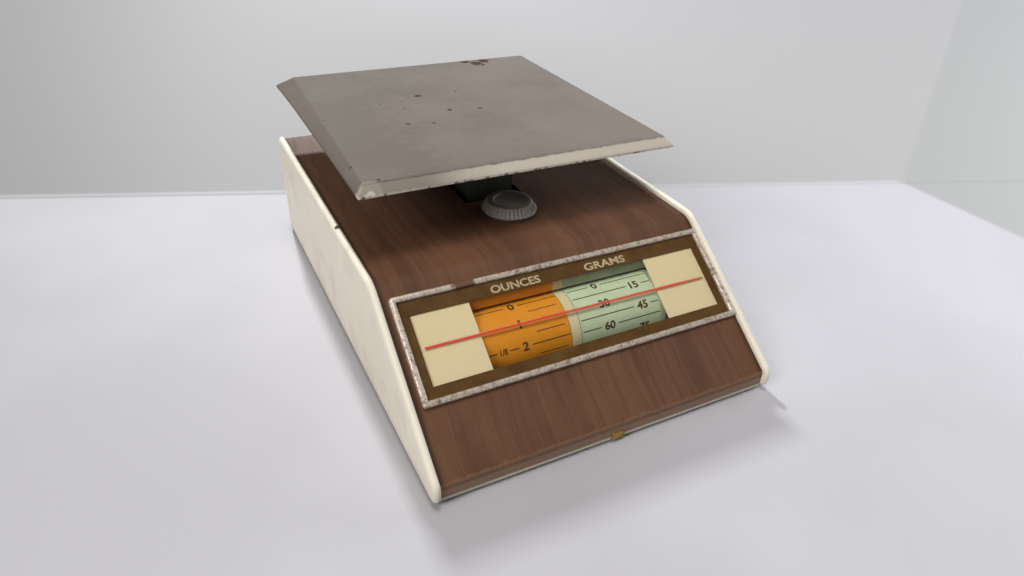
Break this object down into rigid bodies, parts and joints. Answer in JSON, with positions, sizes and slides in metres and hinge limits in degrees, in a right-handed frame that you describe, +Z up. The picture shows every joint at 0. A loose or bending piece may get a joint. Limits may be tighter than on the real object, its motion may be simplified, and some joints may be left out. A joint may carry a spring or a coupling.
{
  "type": "postal scale",
  "caption": "Low wedge-shaped postal spring scale with a square pan, a turning dial drum behind a sloping window, and a zero knob.",
  "frame": {"origin": "centre of the whole scale's plan, at the level of the feet", "axes": "+X across the body, to the right seen from the front; +Y from the front lip to the back; +Z up"},
  "size_m": [0.134, 0.1986, 0.0735],
  "materials": {
    "cream_plastic": "smooth moulded plastic, slightly yellowed",
    "walnut_skin": "walnut-grain vinyl skin on sheet steel",
    "brass": "turned brass",
    "silver_foil": "silver hot-stamped rim, worn and chipped",
    "brown_band": "brown back-printed band",
    "clear_lens": "clear moulded plastic",
    "red_line": "printed red line",
    "cream_card": "cream printed plate",
    "plated_steel": "zinc-plated sheet steel",
    "bright_steel": "bright drawn steel",
    "dark_steel": "blackened spring steel",
    "black_rubber": "black rubber",
    "white_plastic": "white moulded plastic",
    "printed_chart": "printed strip, orange for ounces and green for grams",
    "grey_paint": "grey-green painted sheet steel",
    "grey_enamel": "warm grey enamelled steel, chipped at the rim",
    "grey_plastic": "grey fluted plastic"
  },
  "bodies": {
    "case": {"left_side_panel": "cream_plastic", "right_side_panel": "cream_plastic", "wood_cover": "walnut_skin", "back_panel": "cream_plastic", "base_plate": "cream_plastic", "front_catch": "brass", "window_rim": "silver_foil", "window_band": "brown_band", "window_lens": "clear_lens", "index_line": "red_line", "left_dial_mask": "cream_card", "right_dial_mask": "cream_card", "left_drum_bracket": "plated_steel", "right_drum_bracket": "plated_steel", "drum_bushes": "brass", "left_pivot_bracket": "plated_steel", "right_pivot_bracket": "plated_steel", "pivot_bushes": "brass", "stay_bracket": "plated_steel", "stay_shaft": "bright_steel", "zero_bracket": "plated_steel", "travel_stops": "black_rubber", "rubber_feet": "black_rubber", "base_screws": "bright_steel"},
    "dial": {"drum_shell": "white_plastic", "drum_end_left": "white_plastic", "drum_end_right": "white_plastic", "dial_chart": "printed_chart", "drum_shaft": "bright_steel", "pinion": "brass", "drum_clips": "dark_steel"},
    "lever": {"lever_arm_left": "plated_steel", "lever_arm_right": "plated_steel", "pivot_shaft": "bright_steel", "carrier_shaft": "bright_steel", "spring_bar": "bright_steel", "sector_gear": "plated_steel", "sector_rivets": "bright_steel", "pivot_clips": "dark_steel"},
    "stay": {"stay_link": "plated_steel"},
    "carrier": {"pan_post": "grey_paint", "stay_pin": "bright_steel", "pan_bracket": "grey_paint", "post_rivets": "bright_steel", "pan": "grey_enamel"},
    "knob": {"zero_knob": "grey_plastic", "zero_screw": "bright_steel", "zero_clip": "dark_steel"},
    "nut": {"spring_nut": "brass", "balance_spring": "bright_steel"}
  },
  "joints": [
    {"name": "lever_pivot", "type": "hinge", "parent": "case", "child": "lever", "pos_m": [0, 0.08575, 0.0182], "axis": [1, 0, 0], "range_deg": [-0.52, 4.72], "stiffness_Nm_per_rad": 1.5215, "springref_deg": -4.26, "deforming": ["balance_spring"]},
    {"name": "drum_spin", "type": "hinge", "parent": "case", "child": "dial", "pos_m": [0, -0.05398, 0.0182], "axis": [1, 0, 0], "range_deg": [-270.5, 30.5]},
    {"name": "carrier_hinge", "type": "hinge", "parent": "lever", "child": "carrier", "pos_m": [0, 0.03575, 0.0182], "axis": [1, 0, 0], "range_deg": [-4.8, 0.6]},
    {"name": "stay_hinge", "type": "hinge", "parent": "case", "child": "stay", "pos_m": [0, 0.08575, 0.0332], "axis": [1, 0, 0], "range_deg": [-0.6, 4.8]},
    {"name": "zero_turn", "type": "hinge", "parent": "case", "child": "knob", "pos_m": [0, -0.01175, 0.046], "axis": [0, 0, 1], "range_deg": [-540, 540]},
    {"name": "nut_slide", "type": "slide", "parent": "case", "child": "nut", "axis": [0, 0, 1], "range_m": [-0.00106, 0.00106]}
  ],
  "couplings": [
    {"joint": "drum_spin", "follows": "lever_pivot", "ratio": -57.221},
    {"joint": "carrier_hinge", "follows": "lever_pivot", "ratio": -1},
    {"joint": "stay_hinge", "follows": "lever_pivot", "ratio": 1},
    {"joint": "nut_slide", "follows": "zero_turn", "m_per_rad": -0.00011141}
  ]
}
